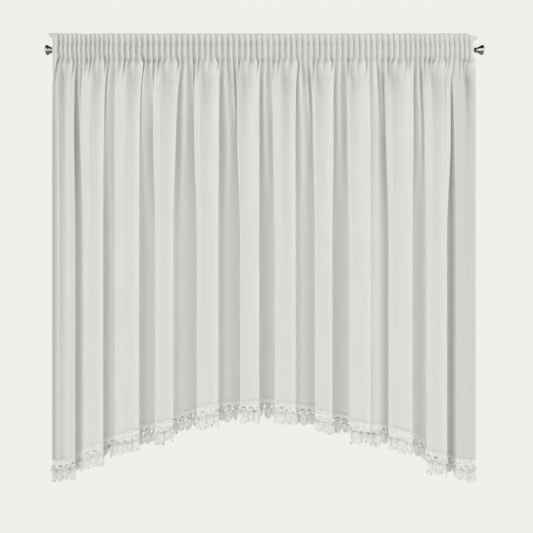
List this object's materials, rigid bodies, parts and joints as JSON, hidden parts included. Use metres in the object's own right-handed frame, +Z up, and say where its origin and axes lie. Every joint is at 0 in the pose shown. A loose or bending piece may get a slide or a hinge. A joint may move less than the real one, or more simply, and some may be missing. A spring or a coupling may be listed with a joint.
{
  "type": "sheer curtain on a rod",
  "caption": "White sheer net curtain with an arched hem and leaf lace edging, gathered into close pleats on a round metal rod with flared ends.",
  "frame": {"origin": "on the rod's axis, half-way along the rod", "axes": "+X along the rod to the right as seen from the front, +Y to the back, towards the window, +Z up"},
  "size_m": [1.4906, 0.0671, 1.4993],
  "materials": {
    "voile": "sheer plain weave, soft",
    "lace": "knitted lace, soft",
    "nickel": "polished dark nickel"
  },
  "bodies": {
    "root": {"panel": "voile", "lace_edging": "lace", "rod": "nickel", "finial_left": "nickel", "finial_right": "nickel"}
  },
  "joints": []
}
